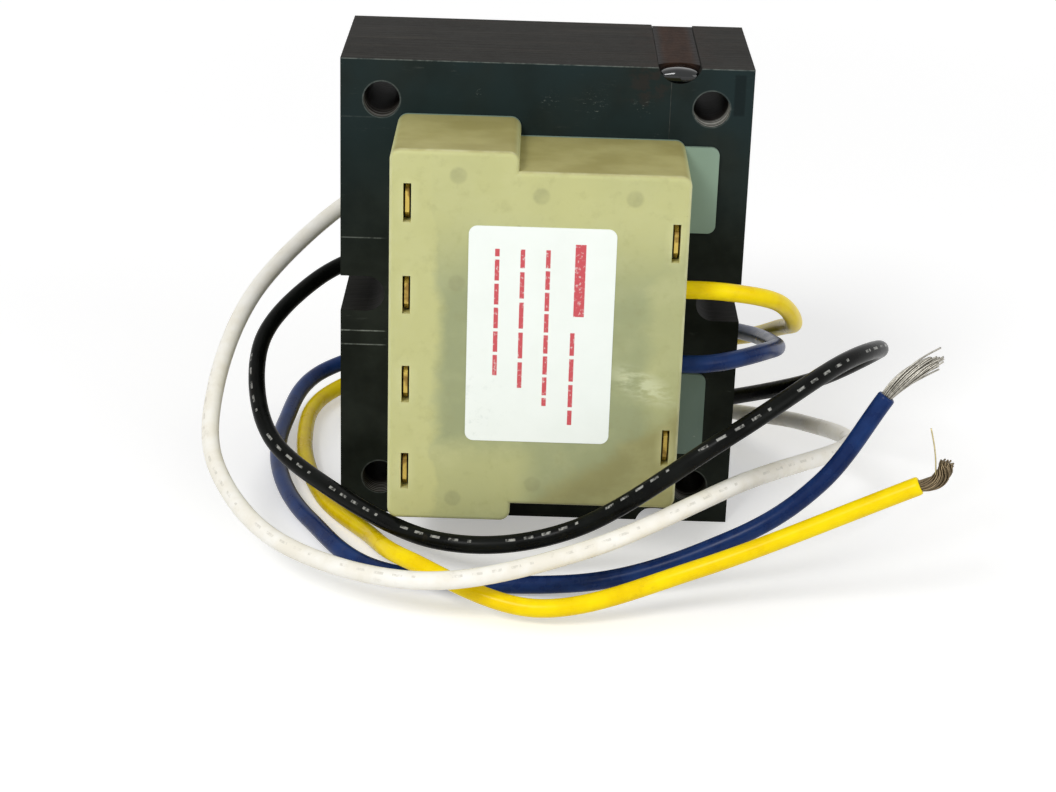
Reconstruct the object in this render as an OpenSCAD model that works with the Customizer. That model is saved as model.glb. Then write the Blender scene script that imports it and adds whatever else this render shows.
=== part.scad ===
// Laminated chassis transformer: a welded stack of E and I sheets round a moulded bobbin with two
// windings, closed by a stepped translucent cover on each face, with two free leads from each cover.
// It stands on the lower edge of its stack. X runs along the centre leg, Y through the stack from
// the front cover (-Y) to the rear cover (+Y), Z is up. Each rear piece is its front twin turned
// half a turn about the vertical axis.

/* [Core] */
// Unit of the sheet pattern: width of the back, of the outer legs and of the windows
unit = 12.7; // [10:0.1:16]
// Number of sheets in the stack
sheet_count = 45; // [20:1:60]
// Thickness of one steel sheet
sheet_t = 0.6; // [0.35:0.05:0.8]
// Varnish film that bonds two sheets
film_t = 0.035; // [0.02:0.005:0.06]
// Depth of the open joint between two sheets along the outer edges
joint_depth = 0.15; // [0.05:0.05:0.4]
// Gap of the butt joint between the legs and the I bar
butt_gap = 0.05; // [0.02:0.01:0.1]
// Diameter of the corner mounting holes
hole_d = 5.6; // [4:0.1:7]
// Distance of the mounting holes from the edges of the stack
hole_inset = 6.35; // [5:0.05:8]
// Width of the notch in the middle of each upright edge
notch_w = 5.8; // [4:0.1:8]
// Depth of the notch
notch_depth = 7; // [4:0.1:9]

/* [Welds] */
// Radius of the weld groove
groove_r = 3.5; // [2.5:0.1:5]
// Height of the groove's centre above the edge of the stack
groove_rise = 1; // [0.5:0.1:2]
// Distance of the groove's centre from the butt joint, towards the I bar
groove_shift = 1.2; // [0:0.1:1.5]
// Depth of the bead's surface below the edge of the stack
bead_sink = 0.2; // [0.1:0.05:0.5]
// Gap between the bead and the groove
bead_gap = 0.05; // [0.02:0.01:0.1]
// Radius of the crater at the front end of the bead
crater_r = 5; // [4:0.1:7]

/* [Bobbin] */
// Clearance between the centre leg and the bobbin
leg_gap = 0.3; // [0.1:0.05:0.6]
// Wall of the bobbin tube
tube_wall = 1.2; // [0.8:0.1:2]
// Thickness of the flanges and of the divider
flange_t = 1.2; // [0.8:0.1:2]
// Gap between a flange and the end of the window
flange_gap = 0.5; // [0.3:0.1:1]
// Gap between a flange and the upper and lower ends of the windows
flange_rise_gap = 0.3; // [0.2:0.05:1]
// Reach of the flanges beyond the faces of the stack
flange_reach = 13.2; // [12.4:0.1:15]
// Height of the windings over the bobbin tube
winding_build = 7.6; // [4:0.1:8.5]
// Radius of the windings' corners
winding_corner_r = 6; // [2:0.5:7]
// Gap between a winding and the flanges beside it
winding_gap = 0.1; // [0.05:0.05:0.5]
// Thickness of the tape wrapped round each winding
tape_t = 0.3; // [0.1:0.05:0.6]

/* [Terminals] */
// Thickness of a terminal blade
blade_t = 0.6; // [0.4:0.1:0.8]
// Width of a terminal blade
blade_w = 5.4; // [4:0.1:5.6]
// Distance of the blade's tip below the outside of the cover
blade_sink = 0.6; // [0.3:0.1:2]
// Distance of the blade's root from the barrier
blade_floor = 3; // [1:0.5:4]
// Depth of the blade in its socket
socket_depth = 5.5; // [4:0.5:7]
// Wall of the socket outside a blade
socket_wall = 0.4; // [0.3:0.05:0.6]
// Wall of the socket above and below a blade
socket_side = 1.5; // [1:0.1:2]
// Distance of the blades in the column of four from their flange
column_gap = 1.35; // [0.5:0.05:2]
// Spacing of the blades in the column of four
blade_pitch = 14.4; // [12:0.1:15]
// Distance of the pair of blades from their flange
pair_gap = 0.95; // [0.5:0.05:2]
// Distance of each blade of the pair from mid-height
pair_rise = 16.5; // [12:0.5:18]

/* [Barriers] */
// Thickness of the insulating barrier on each face of the stack
barrier_t = 0.6; // [0.4:0.1:1]
// Clearance between the barrier and the flanges
barrier_gap = 0.2; // [0.1:0.05:0.4]
// Reach of the barrier's ears past the side of the cover
ear_reach = 5.3; // [2:0.1:6]
// Height of an ear
ear_h = 13.9; // [8:0.1:16]
// Height of the middle of an ear above or below mid-height
ear_rise = 18.85; // [16:0.05:20]
// Radius of the ears' corners
ear_r = 1.3; // [0.5:0.1:3]

/* [Covers] */
// Height of a cover over the face of the stack, with its barrier
cover_h = 20.2; // [18:0.1:24]
// Wall of the cover
cover_wall = 1; // [0.8:0.05:1.2]
// Gap between the sockets of the column of four and the cover
column_room = 0.95; // [0.2:0.05:2]
// Gap between the sockets of the pair and the cover
pair_room = 0.2; // [0.1:0.05:2]
// Gap between the ends of the flanges and the short block of the cover
flange_room = 0.65; // [0.2:0.05:2]
// Height of the step from the short block to the tall one
step_rise = 2.95; // [1:0.05:5]
// Distance of the step from the middle, on the tall side
step_x = 3.8; // [2:0.1:8]
// Radius of the cover's outline corners
cover_corner_r = 1.6; // [1.3:0.1:3]
// Radius along the edges of the cover's face
cover_edge_r = 0.7; // [0.3:0.1:0.9]
// Gap between a blade and its slot, on each side
slot_gap = 0.3; // [0.2:0.05:0.4]
// Depth of the guide round a terminal slot, inside the cover
guide_depth = 1.5; // [0.5:0.1:2.5]
// Wall of that guide
guide_wall = 1.5; // [0.8:0.1:2]
// Radius of the ejector marks inside the cover
ejector_r = 1.3; // [0.8:0.1:2]
// Depth of the ejector marks
ejector_depth = 0.2; // [0.1:0.05:0.4]

/* [Label] */
// Width of the label
label_w = 22; // [16:0.5:24]
// Height of the label
label_h = 34.5; // [20:0.5:38]
// Thickness of the label
label_t = 0.12; // [0.08:0.01:0.3]
// Radius of the label's corners
label_r = 1.3; // [0.5:0.1:3]
// Height of the label's middle above mid-height
label_rise = 1.2; // [-3:0.1:3]

/* [Leads] */
// Diameter of a lead over its insulation
lead_d = 2.8; // [2:0.1:3]
// Gap between a lead and the tape that it lies along
lead_gap = 0.1; // [0.05:0.05:0.5]
// Distance between the two leads of a cover
lead_pitch = 12.2; // [10:0.1:14]
// Width of the slot that a lead leaves its cover through
lead_slot_w = 3.6; // [3.2:0.1:4]
// Diameter of the joint between a lead and its winding
joint_d = 2.2; // [1.6:0.1:2.6]
// Length of that joint
joint_len = 5; // [3:0.5:6]
// Diameter of the wire from the joint to its winding
joint_tail_d = 0.8; // [0.5:0.1:1]
// Diameter of the stripped strands together
strand_d = 1.6; // [1:0.1:2]
// Greatest length of lead between two rings of its tube
ring_step = 25; // [12:1:40]

/* [Fuse] */
// Diameter of the fuse in the secondary circuit
fuse_d = 3.6; // [2.5:0.1:4]
// Length of the fuse
fuse_len = 9; // [6:0.5:10]
// Diameter of the fuse's wires
fuse_wire_d = 0.8; // [0.5:0.1:1]
// Length of each fuse wire
fuse_wire_len = 2.5; // [1:0.5:3]
// Distance of the fuse's wire from the end of the winding
fuse_inset = 1; // [0:0.5:2]

/* [Hidden] */

$fn = 48;
over = 1; // how far a cutting tool runs past the surface that it cuts

stack_w = 5 * unit;
stack_h = 6 * unit;
sheet_pitch = sheet_t + film_t;
stack_t = sheet_count * sheet_pitch - film_t;
face_y = stack_t / 2;
mid_z = stack_h / 2;
back_x = -stack_w / 2;
seam_x = stack_w / 2 - unit;
groove_x = seam_x + groove_shift;

window_x = back_x + unit;
flange_x = (seam_x - window_x) / 2 - flange_gap;
coil_mid_x = (seam_x + window_x) / 2;
pair_x = flange_x + pair_gap + blade_t / 2;
column_x = flange_x + column_gap + blade_t / 2;
tube_y = face_y + leg_gap + tube_wall;
tube_z = unit + leg_gap + tube_wall;
flange_y = face_y + flange_reach;
flange_z = 2 * unit - flange_rise_gap;
winding_y = tube_y + winding_build;
winding_z = tube_z + winding_build;
tape_y = winding_y + tape_t;
divider_x = flange_t / 2;

cover_face_y = face_y + cover_h;
rim_y = face_y + barrier_t;
blade_tip_y = cover_face_y - blade_sink;
blade_root_y = rim_y + blade_floor;
socket_y = blade_root_y + socket_depth;
column_socket_x = column_x + blade_t / 2 + socket_wall;
pair_socket_x = pair_x + blade_t / 2 + socket_wall;

cover_left = column_socket_x + column_room + cover_wall;
cover_right = pair_socket_x + pair_room + cover_wall;
short_h = 2 * (flange_z + flange_room + cover_wall);
tall_h = short_h + 2 * step_rise;
block_overlap = 2 * (cover_wall + cover_corner_r); // how far the short block runs into the tall one
slot_w = blade_t + 2 * slot_gap;
slot_len = blade_w + 2 * slot_gap;
inner_corner_r = cover_corner_r - cover_wall;

lead_r = lead_d / 2;
lead_y = tape_y + lead_r + lead_gap;
high_z = mid_z + lead_pitch / 2;
low_z = mid_z - lead_pitch / 2;

// Places of the blades as [x, z] seen from their own side, the column of four first
blade_places = [
    for (row = [1.5, 0.5, -0.5, -1.5]) [-column_x, mid_z + row * blade_pitch],
    [pair_x, mid_z + pair_rise],
    [pair_x, mid_z - pair_rise]
];

// Places of the ejector marks as [x, rise above mid-height]
ejector_places = [[-12.7, 26], [-12.7, 9.3], [-12.7, -26], [-0.4, 23.2], [-0.4, -23.2], [13.4, 23.2]];

// Routes of the leads. The first three points of each lie on the line out of its cover.
yellow_route = [
    [8, -25.2, 44.2], [18, -25.2, 44.2], [28, -25, 44], [37, -19, 40.5], [41.5, -6, 32.5], [41.5, 13, 24.5],
    [34, 35, 14], [8, 46, 9], [-20, 44, 5], [-38, 30, 2.5], [-40, 9, 2], [-35, -12, 1.6], [-26.5, -27, 2.2],
    [-19, -44, 6], [1, -53, 3], [25, -50, 9], [56, -53, 25]
];
blue_route = [
    [8, -25.2, 32], [18, -25.2, 32], [27, -24.6, 32], [36, -16, 31], [39.5, 2, 25.5], [34, 26, 19],
    [12, 42, 15], [-18, 44, 9], [-39, 34, 5.5], [-44, 16, 3], [-43, -3, 2], [-36, -22, 1.7],
    [-22, -40, 1.7], [8, -43, 2.5], [30, -42, 10], [43, -42, 20], [52, -41, 34]
];
black_route = [
    [-8, 25.2, 32], [-18, 25.2, 32], [-28, 25, 32], [-39, 20, 28], [-47, 8, 21], [-45, -7, 12],
    [-35, -19, 7.5], [-15, -38, 6.5], [6, -40, 10], [28, -43, 27], [46, -29, 34], [55, -11, 30],
    [47, 3, 19], [35, 19, 9], [25, 27, 4]
];
white_route = [
    [-8, 25.2, 44.2], [-18, 25.2, 44.2], [-28, 25, 44], [-38, 18, 39], [-48, 2, 31], [-52, -14, 21],
    [-50, -28, 13], [-38, -44, 8], [-16, -55, 8], [8, -49, 11], [32, -36, 17], [51, -13, 14],
    [46, 8, 9], [36, 24, 4], [25, 33, 2]
];

// Where the stripped strands end, past the ends of the routes
yellow_strand_end = [60.2, -52, 28];
blue_strand_end = [60.8, -40, 40.2];
black_strand_end = [18, 29, 2];
white_strand_end = [18, 34, 2];

// Half a turn about the vertical axis makes the rear piece from the front one
module rear() {
    rotate([0, 0, 180]) children();
}

// Draws an outline given as [x, z] as a slab between two depths, front first
module slab(near_y, far_y) {
    translate([0, far_y, 0]) rotate([90, 0, 0]) linear_extrude(far_y - near_y) children();
}

// Rectangle round the origin with round corners
module round_rectangle(width, height, radius) {
    square([width - 2 * radius, height], center = true);
    square([width, height - 2 * radius], center = true);
    for (sx = [-1, 1], sz = [-1, 1]) {
        translate([sx * (width / 2 - radius), sz * (height / 2 - radius)]) circle(radius);
    }
}

// One hole of the four at the corners
module corner_hole(sx, sz) {
    translate([sx * (stack_w / 2 - hole_inset), mid_z + sz * (stack_h / 2 - hole_inset)]) {
        circle(d = hole_d);
    }
}

// Round-ended notch in the middle of an upright edge
module edge_notch(sx) {
    notch_end = stack_w / 2 - notch_depth + notch_w / 2;
    translate([sx * notch_end, mid_z]) circle(d = notch_w);
    translate([sx > 0 ? notch_end : -stack_w / 2 - over, mid_z - notch_w / 2]) {
        square([stack_w / 2 + over - notch_end, notch_w]);
    }
}

// The two grooves across the butt joint, where the welds lie
module weld_grooves(radius) {
    for (z = [-groove_rise, stack_h + groove_rise]) {
        translate([groove_x, z]) circle(radius);
    }
}

module e_outline() {
    difference() {
        translate([back_x, 0]) square([seam_x - back_x, stack_h]);
        for (z = [unit, 4 * unit]) {
            translate([window_x, z]) square([seam_x - window_x + over, unit]);
        }
        for (sz = [-1, 1]) corner_hole(-1, sz);
        edge_notch(-1);
        weld_grooves(groove_r);
    }
}

module i_outline() {
    difference() {
        translate([seam_x + butt_gap, 0]) square([unit - butt_gap, stack_h]);
        for (sz = [-1, 1]) corner_hole(1, sz);
        edge_notch(1);
        weld_grooves(groove_r);
    }
}

// Sheets of the outline given, bonded by films that end short of the stack's outer edges
module bonded_stack() {
    difference() {
        slab(-face_y, face_y) children();
        for (i = [1 : sheet_count - 1]) {
            far_y = -face_y + i * sheet_pitch;
            slab(far_y - film_t, far_y) difference() {
                translate([-stack_w / 2 - over, -over]) square([stack_w + 2 * over, stack_h + 2 * over]);
                translate([-stack_w / 2 + joint_depth, joint_depth]) {
                    square([stack_w - 2 * joint_depth, stack_h - 2 * joint_depth]);
                }
            }
        }
    }
}

module e_laminations() {
    color([0.10, 0.12, 0.13]) bonded_stack() e_outline();
}

module i_laminations() {
    color([0.12, 0.14, 0.15]) bonded_stack() i_outline();
}

// Bead in the upper groove, with a crater at its front end
module weld_bead() {
    bead_r = groove_r - bead_gap;
    difference() {
        translate([groove_x, face_y, stack_h + groove_rise]) rotate([90, 0, 0]) cylinder(h = stack_t, r = bead_r);
        translate([groove_x - groove_r, -face_y - over, stack_h - bead_sink]) {
            cube([2 * groove_r, stack_t + 2 * over, 2 * groove_r]);
        }
        translate([groove_x, -face_y, stack_h + crater_r / 2]) sphere(crater_r);
    }
}

module top_weld() {
    color([0.22, 0.17, 0.14]) weld_bead();
}

module bottom_weld() {
    color([0.22, 0.17, 0.14]) translate([0, 0, stack_h]) mirror([0, 0, 1]) weld_bead();
}

// Upright plate across the bobbin, from one x to the next, round the centre leg
module bobbin_plate(x, thickness) {
    leg_y = face_y + leg_gap;
    leg_z = unit + leg_gap;
    difference() {
        translate([x, -flange_y, mid_z - flange_z]) cube([thickness, 2 * flange_y, 2 * flange_z]);
        translate([x - over, -leg_y, mid_z - leg_z]) cube([thickness + 2 * over, 2 * leg_y, 2 * leg_z]);
    }
}

// Moulded sockets on the outside of the flanges, which hold the blades of one side
module blade_sockets() {
    socket_w = blade_w + 2 * socket_side;
    inner_x = flange_x - flange_t / 2;
    for (p = blade_places) {
        outer_x = p[0] < 0 ? column_socket_x : pair_socket_x;
        translate([p[0] < 0 ? -outer_x : inner_x, -socket_y, p[1] - socket_w / 2]) {
            cube([outer_x - inner_x, socket_y - rim_y, socket_w]);
        }
    }
}

// Solid in the place of every blade of one side
module blades_in_place() {
    for (p = blade_places) {
        translate([p[0] - blade_t / 2, -blade_tip_y, p[1] - blade_w / 2]) {
            cube([blade_t, blade_tip_y - blade_root_y, blade_w]);
        }
    }
}

// Open slots in the flange that the two leads of one side pass through
module lead_notches() {
    for (z = [low_z, high_z]) {
        translate([flange_x - flange_t - over, -flange_y - over, z - lead_slot_w / 2]) {
            cube([flange_t + 2 * over, flange_y + over - tape_y, lead_slot_w]);
        }
    }
}

module bobbin() {
    color([0.86, 0.86, 0.74]) translate([coil_mid_x, 0, 0]) difference() {
        union() {
            difference() {
                translate([-flange_x, -tube_y, mid_z - tube_z]) cube([2 * flange_x, 2 * tube_y, 2 * tube_z]);
                translate([-flange_x - over, -face_y - leg_gap, mid_z - unit - leg_gap]) {
                    cube([2 * (flange_x + over), 2 * (face_y + leg_gap), 2 * (unit + leg_gap)]);
                }
            }
            bobbin_plate(-flange_x, flange_t);
            bobbin_plate(-divider_x, flange_t);
            bobbin_plate(flange_x - flange_t, flange_t);
            blade_sockets();
            rear() blade_sockets();
        }
        blades_in_place();
        rear() blades_in_place();
        lead_notches();
        rear() lead_notches();
    }
}

// Closed ring round the bobbin tube, between a flange and the divider on the side given
module coil_ring(side, hole_y, hole_z, ring_y, ring_z, radius) {
    width = flange_x - flange_t - divider_x - 2 * winding_gap;
    near_x = divider_x + winding_gap;
    translate([coil_mid_x + (side > 0 ? near_x : -near_x - width), 0, mid_z]) {
        rotate([90, 0, 90]) linear_extrude(width) difference() {
            round_rectangle(2 * ring_y, 2 * ring_z, radius);
            children();
        }
    }
}

module winding(side) {
    coil_ring(side, tube_y, tube_z, winding_y, winding_z, winding_corner_r) {
        square([2 * tube_y, 2 * tube_z], center = true);
    }
}

module tape(side) {
    coil_ring(side, winding_y, winding_z, tape_y, winding_z + tape_t, winding_corner_r + tape_t) {
        round_rectangle(2 * winding_y, 2 * winding_z, winding_corner_r);
    }
}

module primary_winding() {
    color([0.72, 0.36, 0.16]) winding(-1);
}

module secondary_winding() {
    color([0.76, 0.40, 0.18]) winding(1);
}

module primary_tape() {
    color([0.93, 0.83, 0.40]) tape(-1);
}

module secondary_tape() {
    color([0.93, 0.83, 0.40]) tape(1);
}

// Blade with two chamfered corners at its tip
module terminal(index) {
    chamfer = blade_w / 5;
    p = blade_places[index];
    color([0.80, 0.62, 0.26]) translate([coil_mid_x + p[0] - blade_t / 2, 0, p[1]]) {
        rotate([90, 0, 90]) linear_extrude(blade_t) polygon([
            [-blade_root_y, -blade_w / 2],
            [-blade_root_y, blade_w / 2],
            [-blade_tip_y + chamfer, blade_w / 2],
            [-blade_tip_y, blade_w / 2 - chamfer],
            [-blade_tip_y, -blade_w / 2 + chamfer],
            [-blade_tip_y + chamfer, -blade_w / 2]
        ]);
    }
}

// Fuse of the secondary winding, on the tape between its two leads
module secondary_fuse() {
    fuse_x = divider_x + winding_gap + fuse_wire_len + fuse_inset;
    color([0.75, 0.76, 0.78]) translate([fuse_x, -tape_y - fuse_d / 2, mid_z]) rotate([0, 90, 0]) {
        cylinder(h = fuse_len, d = fuse_d);
        translate([0, 0, -fuse_wire_len]) cylinder(h = fuse_len + 2 * fuse_wire_len, d = fuse_wire_d);
    }
}

// Soldered joint on the inner end of a front lead, with a tail down to the tape
module front_joint(route) {
    end = route[0];
    color([0.72, 0.72, 0.70]) translate([end[0] - joint_len, end[1], end[2]]) {
        rotate([0, 90, 0]) cylinder(h = joint_len, d = joint_d);
        translate([joint_d / 2, 0, 0]) rotate([-90, 0, 0]) cylinder(h = -end[1] - tape_y, d = joint_tail_d);
    }
}

// The same on a rear lead
module rear_joint(route) {
    end = route[0];
    rear() front_joint([[-end[0], -end[1], end[2]]]);
}

// Outline of a cover as [x, z], with every side moved in by the inset
module cover_outline(inset, radius) {
    tall_w = cover_left - step_x;
    short_w = cover_right + step_x + block_overlap;
    translate([-(cover_left + step_x) / 2, mid_z]) {
        round_rectangle(tall_w - 2 * inset, tall_h - 2 * inset, radius);
    }
    translate([(cover_right - step_x - block_overlap) / 2, mid_z]) {
        round_rectangle(short_w - 2 * inset, short_h - 2 * inset, radius);
    }
}

module front_barrier() {
    opening_x = flange_x + barrier_gap;
    opening_z = flange_z + barrier_gap;
    color([0.62, 0.70, 0.64]) slab(-rim_y, -face_y) difference() {
        union() {
            cover_outline(0, cover_corner_r);
            for (sz = [-1, 1]) {
                translate([cover_right, mid_z + sz * ear_rise]) round_rectangle(2 * ear_reach, ear_h, ear_r);
            }
        }
        translate([-opening_x, mid_z - opening_z]) square([2 * opening_x, 2 * opening_z]);
    }
}

module rear_barrier() {
    rear() front_barrier();
}

// Quarter profile of a block's edge: full width up to the edge radius, then rounded
module edged_profile(width, depth) {
    translate([-width / 2, 0]) square([width, depth - cover_edge_r]);
    translate([-width / 2 + cover_edge_r, 0]) square([width - 2 * cover_edge_r, depth]);
    for (sx = [-1, 1]) {
        translate([sx * (width / 2 - cover_edge_r), depth - cover_edge_r]) circle(cover_edge_r);
    }
}

// Round post with a rounded edge at its top, for the corners of a block
module edged_post(depth) {
    rotate_extrude() intersection() {
        edged_profile(2 * cover_corner_r, depth);
        square([cover_corner_r, depth]);
    }
}

// Block with its base on the XY plane, round corners and a rounded edge round its top
module edged_block(width, height, depth) {
    corner_x = width / 2 - cover_corner_r;
    corner_y = height / 2 - cover_corner_r;
    translate([0, corner_y, 0]) rotate([90, 0, 0]) linear_extrude(2 * corner_y) edged_profile(width, depth);
    translate([-corner_x, 0, 0]) rotate([90, 0, 90]) linear_extrude(2 * corner_x) edged_profile(height, depth);
    for (sx = [-1, 1], sy = [-1, 1]) {
        translate([sx * corner_x, sy * corner_y, 0]) edged_post(depth);
    }
}

// The tall and the short block of a cover, with their rim on the XY plane
module cover_blocks() {
    depth = cover_face_y - rim_y;
    short_w = cover_right + step_x + block_overlap;
    translate([-(cover_left + step_x) / 2, 0, 0]) edged_block(cover_left - step_x, tall_h, depth);
    translate([(cover_right - step_x - block_overlap) / 2, 0, 0]) edged_block(short_w, short_h, depth);
}

// Openings of a cover: terminal slots in its face, lead slots in its short end
module cover_openings() {
    for (p = blade_places) {
        translate([p[0] - slot_w / 2, -cover_face_y - over, p[1] - slot_len / 2]) {
            cube([slot_w, cover_face_y, slot_len]);
        }
    }
    for (z = [low_z, high_z]) {
        translate([flange_x + flange_gap, -lead_y, z]) rotate([0, 90, 0]) {
            cylinder(h = cover_right, d = lead_slot_w);
        }
        translate([flange_x + flange_gap, -lead_y, z - lead_slot_w / 2]) {
            cube([cover_right, lead_y - rim_y + over, lead_slot_w]);
        }
    }
}

// Guides round the terminal slots, on the inside of the face
module blade_guides() {
    guide_h = slot_len + 2 * guide_wall;
    for (p = blade_places) {
        inner_x = abs(p[0]) - slot_w / 2 - guide_wall;
        outer_x = (p[0] < 0 ? cover_left : cover_right) - cover_wall / 2;
        translate([p[0] < 0 ? -outer_x : inner_x, -cover_face_y + cover_wall / 2, p[1] - guide_h / 2]) {
            cube([outer_x - inner_x, cover_wall / 2 + guide_depth, guide_h]);
        }
    }
}

module front_cover() {
    color([0.85, 0.86, 0.62, 0.9]) difference() {
        union() {
            difference() {
                translate([0, -rim_y, mid_z]) rotate([90, 0, 0]) cover_blocks();
                slab(-cover_face_y + cover_wall, -rim_y + over) cover_outline(cover_wall, inner_corner_r);
            }
            blade_guides();
        }
        cover_openings();
        for (p = ejector_places) {
            translate([p[0], -cover_face_y + cover_wall + over, mid_z + p[1]]) rotate([90, 0, 0]) {
                cylinder(h = over + ejector_depth, r = ejector_r);
            }
        }
    }
}

module rear_cover() {
    rear() front_cover();
}

module label() {
    color([0.96, 0.96, 0.94]) slab(-cover_face_y - label_t, -cover_face_y) {
        translate([0, mid_z + label_rise]) round_rectangle(label_w, label_h, label_r);
    }
}

// Point at the share t of the stretch from route point i to the next, on a smooth curve
function route_point(route, i, t) =
    let (
        last = len(route) - 1,
        b = route[i],
        c = route[i + 1],
        a = i > 0 ? route[i - 1] : 2 * b - c,
        d = i + 2 <= last ? route[i + 2] : 2 * c - b
    )
    0.5 * (2 * b + (c - a) * t + (2 * a - 5 * b + 4 * c - d) * t * t + (3 * b - 3 * c + d - a) * t * t * t);

// Centres of the rings of a lead: every route point, and points between where they lie far apart
function ring_centres(route) = [
    for (i = [0 : len(route) - 2])
        let (steps = ceil(norm(route[i + 1] - route[i]) / ring_step))
        for (k = [0 : steps - 1]) route_point(route, i, k / steps),
    route[len(route) - 1]
];

function unit_vector(v) = v / norm(v);

// Direction of the tube at ring i
function ring_direction(centres, i) =
    let (last = len(centres) - 1)
    unit_vector(centres[min(i + 1, last)] - centres[max(i - 1, 0)]);

// Corners of the ring round a centre, square to the direction given
function ring_corners(centre, direction, radius, sides) =
    let (
        side = unit_vector(cross(direction, [0.1, 0.2, 1])),
        rise = cross(side, direction)
    )
    [for (k = [0 : sides - 1]) let (turn = 360 * k / sides)
        centre + radius * (cos(turn) * side + sin(turn) * rise)];

// Closed tube swept along a route
module tube(centres, radius, sides = 8) {
    count = len(centres);
    corners = [
        for (i = [0 : count - 1]) each ring_corners(centres[i], ring_direction(centres, i), radius, sides)
    ];
    walls = [
        for (i = [0 : count - 2], k = [0 : sides - 1])
            let (a = i * sides + k, b = i * sides + (k + 1) % sides)
            each [[a, b, b + sides], [a, b + sides, a + sides]]
    ];
    first_end = [for (k = [0 : sides - 1]) sides - 1 - k];
    last_end = [for (k = [0 : sides - 1]) (count - 1) * sides + k];
    polyhedron(points = corners, faces = concat([first_end], walls, [last_end]), convexity = 8);
}

module lead(route) {
    tube(ring_centres(route), lead_r);
}

// Stripped strands from the end of a route to their own end
module strands(route, end_point) {
    centres = ring_centres(route);
    start = centres[len(centres) - 1];
    heading = ring_direction(centres, len(centres) - 1);
    middle = start + heading * norm(end_point - start) / 2;
    tube([start, middle, end_point], strand_d / 2);
}

module yellow_lead() {
    color([0.95, 0.80, 0.05]) lead(yellow_route);
}

module blue_lead() {
    color([0.10, 0.20, 0.48]) lead(blue_route);
}

module black_lead() {
    color([0.09, 0.09, 0.10]) lead(black_route);
}

module white_lead() {
    color([0.93, 0.93, 0.91]) lead(white_route);
}

e_laminations();
i_laminations();
top_weld();
bottom_weld();
bobbin();
primary_winding();
secondary_winding();
primary_tape();
secondary_tape();
terminal(0);  // front_terminal_1
terminal(1);  // front_terminal_2
terminal(2);  // front_terminal_3
terminal(3);  // front_terminal_4
terminal(4);  // front_terminal_5
terminal(5);  // front_terminal_6
rear() terminal(0);  // rear_terminal_1
rear() terminal(1);  // rear_terminal_2
rear() terminal(2);  // rear_terminal_3
rear() terminal(3);  // rear_terminal_4
rear() terminal(4);  // rear_terminal_5
rear() terminal(5);  // rear_terminal_6
secondary_fuse();
front_joint(yellow_route);  // yellow_joint
front_joint(blue_route);  // blue_joint
rear_joint(black_route);  // black_joint
rear_joint(white_route);  // white_joint
front_barrier();
rear_barrier();
front_cover();
rear_cover();
label();
yellow_lead();
blue_lead();
black_lead();
white_lead();
strands(yellow_route, yellow_strand_end);  // yellow_strands
strands(blue_route, blue_strand_end);  // blue_strands
strands(black_route, black_strand_end);  // black_strands
strands(white_route, white_strand_end);  // white_strands
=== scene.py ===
"""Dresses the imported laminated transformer: finishes for its solids, drawn-out leads, bare strands, a drop of
varnish and a plain studio. Every length is in metres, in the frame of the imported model."""

import math

import bpy
import numpy as np
from mathutils import Matrix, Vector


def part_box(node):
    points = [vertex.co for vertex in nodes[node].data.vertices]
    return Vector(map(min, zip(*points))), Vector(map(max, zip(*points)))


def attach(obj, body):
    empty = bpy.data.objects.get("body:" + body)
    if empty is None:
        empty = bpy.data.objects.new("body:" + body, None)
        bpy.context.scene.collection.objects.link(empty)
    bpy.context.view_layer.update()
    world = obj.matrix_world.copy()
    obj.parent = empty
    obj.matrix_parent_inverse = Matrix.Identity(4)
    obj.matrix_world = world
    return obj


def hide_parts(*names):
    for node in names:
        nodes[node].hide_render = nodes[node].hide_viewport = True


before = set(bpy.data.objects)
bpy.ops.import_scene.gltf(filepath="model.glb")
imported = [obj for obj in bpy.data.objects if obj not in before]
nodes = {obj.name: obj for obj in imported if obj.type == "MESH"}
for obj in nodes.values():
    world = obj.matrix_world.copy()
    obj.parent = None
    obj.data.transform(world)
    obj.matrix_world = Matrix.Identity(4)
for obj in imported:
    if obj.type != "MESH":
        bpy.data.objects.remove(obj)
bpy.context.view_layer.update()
ROOT = "root"
MM = 0.001

# ---------------------------------------------------------------- places taken from the solids
stack_low, stack_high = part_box("e_laminations")
cover_low, cover_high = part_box("front_cover")
label_low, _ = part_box("label")
weld_low, weld_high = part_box("top_weld")
front_face = stack_low.y
stack_top = stack_high.z
middle_z = stack_top / 2
cover_face = cover_low.y
seam_x = stack_high.x
groove_x = (weld_low.x + weld_high.x) / 2


# ---------------------------------------------------------------- camera
CAMERA_PLACE = np.array([-1.937, -362.70, 162.876]) * MM
CAMERA_TURN = math.radians(-0.078)
CAMERA_TIP = math.radians(22.102)
CAMERA_ROLL = math.radians(1.798)
CAMERA_LENS = 79.35
SENSOR_WIDTH = 36.0
NEAREST_SEEN = 0.01


def stand(thing, across, above, back, place):
    """Puts a camera or a lamp at place, with its own X, Y and Z along the three directions given."""
    rows = [[*row, at] for row, at in zip(np.stack([across, above, back], 1), place)]
    thing.matrix_world = Matrix(rows + [[0, 0, 0, 1]])
    bpy.context.scene.collection.objects.link(thing)


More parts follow.
